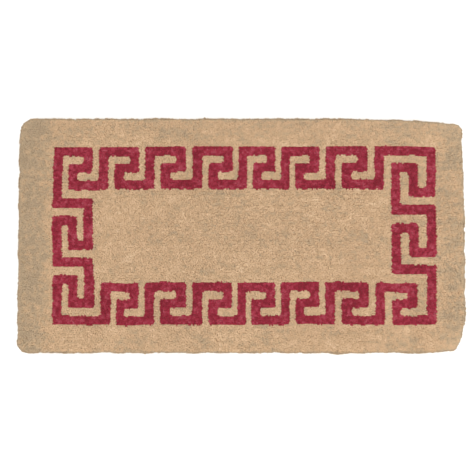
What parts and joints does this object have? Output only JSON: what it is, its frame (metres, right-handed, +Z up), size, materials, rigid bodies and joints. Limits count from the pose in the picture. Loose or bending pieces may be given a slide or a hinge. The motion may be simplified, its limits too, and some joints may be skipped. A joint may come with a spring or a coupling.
{
  "type": "door mat",
  "caption": "Rectangular hand-woven coir door mat with thick brush pile, rounded corners and a dyed key border.",
  "frame": {"origin": "middle of the underside, on the floor: the bounding box's bottom centre", "axes": "+X along the mat's length, +Y across its width towards the back edge, +Z up out of the pile"},
  "size_m": [1.2, 0.632, 0.038],
  "materials": {
    "undyed_coir_pile": "matte",
    "red_dyed_coir_pile": "matte",
    "coir_yarn": "matte",
    "coir_braid": "matte",
    "coir_twine": "matte"
  },
  "bodies": {
    "root": {"field": "undyed_coir_pile", "margin_back": "undyed_coir_pile", "margin_front": "undyed_coir_pile", "margin_left": "undyed_coir_pile", "margin_right": "undyed_coir_pile", "key_back_1": "red_dyed_coir_pile", "key_back_2": "red_dyed_coir_pile", "key_back_3": "red_dyed_coir_pile", "key_back_4": "red_dyed_coir_pile", "key_back_5": "red_dyed_coir_pile", "key_back_6": "red_dyed_coir_pile", "key_front_1": "red_dyed_coir_pile", "key_front_2": "red_dyed_coir_pile", "key_front_3": "red_dyed_coir_pile", "key_front_4": "red_dyed_coir_pile", "key_front_5": "red_dyed_coir_pile", "key_front_6": "red_dyed_coir_pile", "key_left_1": "red_dyed_coir_pile", "key_right_1": "red_dyed_coir_pile", "key_corner_back_left": "red_dyed_coir_pile", "key_corner_back_right": "red_dyed_coir_pile", "key_corner_front_left": "red_dyed_coir_pile", "key_corner_front_right": "red_dyed_coir_pile", "weft_ground": "coir_yarn", "warp_chain_01": "coir_yarn", "warp_chain_02": "coir_yarn", "warp_chain_03": "coir_yarn", "warp_chain_04": "coir_yarn", "warp_chain_05": "coir_yarn", "warp_chain_06": "coir_yarn", "warp_chain_07": "coir_yarn", "warp_chain_08": "coir_yarn", "warp_chain_09": "coir_yarn", "warp_chain_10": "coir_yarn", "warp_chain_11": "coir_yarn", "warp_chain_12": "coir_yarn", "warp_chain_13": "coir_yarn", "warp_chain_14": "coir_yarn", "warp_chain_15": "coir_yarn", "warp_chain_16": "coir_yarn", "warp_chain_17": "coir_yarn", "warp_chain_18": "coir_yarn", "warp_chain_19": "coir_yarn", "warp_chain_20": "coir_yarn", "warp_chain_21": "coir_yarn", "warp_chain_22": "coir_yarn", "warp_chain_23": "coir_yarn", "warp_chain_24": "coir_yarn", "warp_chain_25": "coir_yarn", "edge_rope": "coir_braid", "lashing_back": "coir_twine", "lashing_front": "coir_twine", "lashing_left": "coir_twine", "lashing_right": "coir_twine"}
  },
  "joints": []
}
